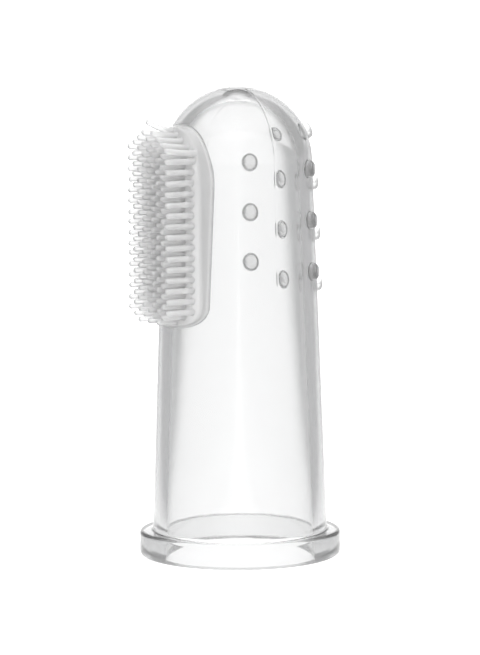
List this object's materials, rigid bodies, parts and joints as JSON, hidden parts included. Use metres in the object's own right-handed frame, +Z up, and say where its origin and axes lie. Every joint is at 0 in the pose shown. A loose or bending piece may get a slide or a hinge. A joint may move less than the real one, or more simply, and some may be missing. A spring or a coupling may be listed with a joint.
{
  "type": "finger toothbrush",
  "caption": "Clear silicone finger sleeve with a closed round tip, a thick rim, a raised pad of soft bristles on one side and staggered massage nubs on the other.",
  "frame": {"origin": "centre of the open rim's bottom face, on the bore's axis", "axes": "+Z up from the open rim to the closed tip; the bristles point along -Y; the massage nubs sit around +Y; X runs across the brush pad"},
  "size_m": [0.0252, 0.0255, 0.0585],
  "materials": {
    "clear_silicone": "clear moulded silicone, glossy, very slightly milky",
    "bristle_silicone": "the same clear silicone in fine bristles, which look milky white together"
  },
  "bodies": {
    "sleeve": {"base_rim": "clear_silicone", "finger_sleeve": "clear_silicone", "round_tip": "clear_silicone", "brush_pad": "clear_silicone", "massage_nub_a1": "clear_silicone", "massage_nub_a2": "clear_silicone", "massage_nub_a3": "clear_silicone", "massage_nub_b1": "clear_silicone", "massage_nub_b2": "clear_silicone", "massage_nub_b3": "clear_silicone", "massage_nub_b4": "clear_silicone", "massage_nub_c1": "clear_silicone", "massage_nub_c2": "clear_silicone", "massage_nub_c3": "clear_silicone", "massage_nub_c4": "clear_silicone", "massage_nub_d1": "clear_silicone", "massage_nub_d2": "clear_silicone", "massage_nub_d3": "clear_silicone"},
    "bristles_1": {"bristle_column_1": "bristle_silicone"},
    "bristles_2": {"bristle_column_2": "bristle_silicone"},
    "bristles_3": {"bristle_column_3": "bristle_silicone"},
    "bristles_4": {"bristle_column_4": "bristle_silicone"},
    "bristles_5": {"bristle_column_5": "bristle_silicone"},
    "bristles_6": {"bristle_column_6": "bristle_silicone"},
    "bristles_7": {"bristle_column_7": "bristle_silicone"},
    "bristles_8": {"bristle_column_8": "bristle_silicone"},
    "bristles_9": {"bristle_column_9": "bristle_silicone"}
  },
  "joints": [
    {"name": "bristle_lean_1", "type": "hinge", "parent": "sleeve", "child": "bristles_1", "pos_m": [-0.0048, -0.0099, 0.0415], "axis": [0, 0, 1], "range_deg": [-25, 25], "stiffness_Nm_per_rad": 0.0004},
    {"name": "bristle_lean_2", "type": "hinge", "parent": "sleeve", "child": "bristles_2", "pos_m": [-0.0036, -0.01039, 0.0415], "axis": [0, 0, 1], "range_deg": [-25, 25], "stiffness_Nm_per_rad": 0.0004},
    {"name": "bristle_lean_3", "type": "hinge", "parent": "sleeve", "child": "bristles_3", "pos_m": [-0.0024, -0.01073, 0.0415], "axis": [0, 0, 1], "range_deg": [-25, 25], "stiffness_Nm_per_rad": 0.0004},
    {"name": "bristle_lean_4", "type": "hinge", "parent": "sleeve", "child": "bristles_4", "pos_m": [-0.0012, -0.01093, 0.0415], "axis": [0, 0, 1], "range_deg": [-25, 25], "stiffness_Nm_per_rad": 0.0004},
    {"name": "bristle_lean_5", "type": "hinge", "parent": "sleeve", "child": "bristles_5", "pos_m": [0, -0.011, 0.0415], "axis": [0, 0, 1], "range_deg": [-25, 25], "stiffness_Nm_per_rad": 0.0004},
    {"name": "bristle_lean_6", "type": "hinge", "parent": "sleeve", "child": "bristles_6", "pos_m": [0.0012, -0.01093, 0.0415], "axis": [0, 0, 1], "range_deg": [-25, 25], "stiffness_Nm_per_rad": 0.0004},
    {"name": "bristle_lean_7", "type": "hinge", "parent": "sleeve", "child": "bristles_7", "pos_m": [0.0024, -0.01073, 0.0415], "axis": [0, 0, 1], "range_deg": [-25, 25], "stiffness_Nm_per_rad": 0.0004},
    {"name": "bristle_lean_8", "type": "hinge", "parent": "sleeve", "child": "bristles_8", "pos_m": [0.0036, -0.01039, 0.0415], "axis": [0, 0, 1], "range_deg": [-25, 25], "stiffness_Nm_per_rad": 0.0004},
    {"name": "bristle_lean_9", "type": "hinge", "parent": "sleeve", "child": "bristles_9", "pos_m": [0.0048, -0.0099, 0.0415], "axis": [0, 0, 1], "range_deg": [-25, 25], "stiffness_Nm_per_rad": 0.0004}
  ],
  "couplings": [
    {"joint": "bristle_lean_1", "follows": "bristle_lean_5", "ratio": 1},
    {"joint": "bristle_lean_2", "follows": "bristle_lean_5", "ratio": 1},
    {"joint": "bristle_lean_3", "follows": "bristle_lean_5", "ratio": 1},
    {"joint": "bristle_lean_4", "follows": "bristle_lean_5", "ratio": 1},
    {"joint": "bristle_lean_6", "follows": "bristle_lean_5", "ratio": 1},
    {"joint": "bristle_lean_7", "follows": "bristle_lean_5", "ratio": 1},
    {"joint": "bristle_lean_8", "follows": "bristle_lean_5", "ratio": 1},
    {"joint": "bristle_lean_9", "follows": "bristle_lean_5", "ratio": 1}
  ]
}
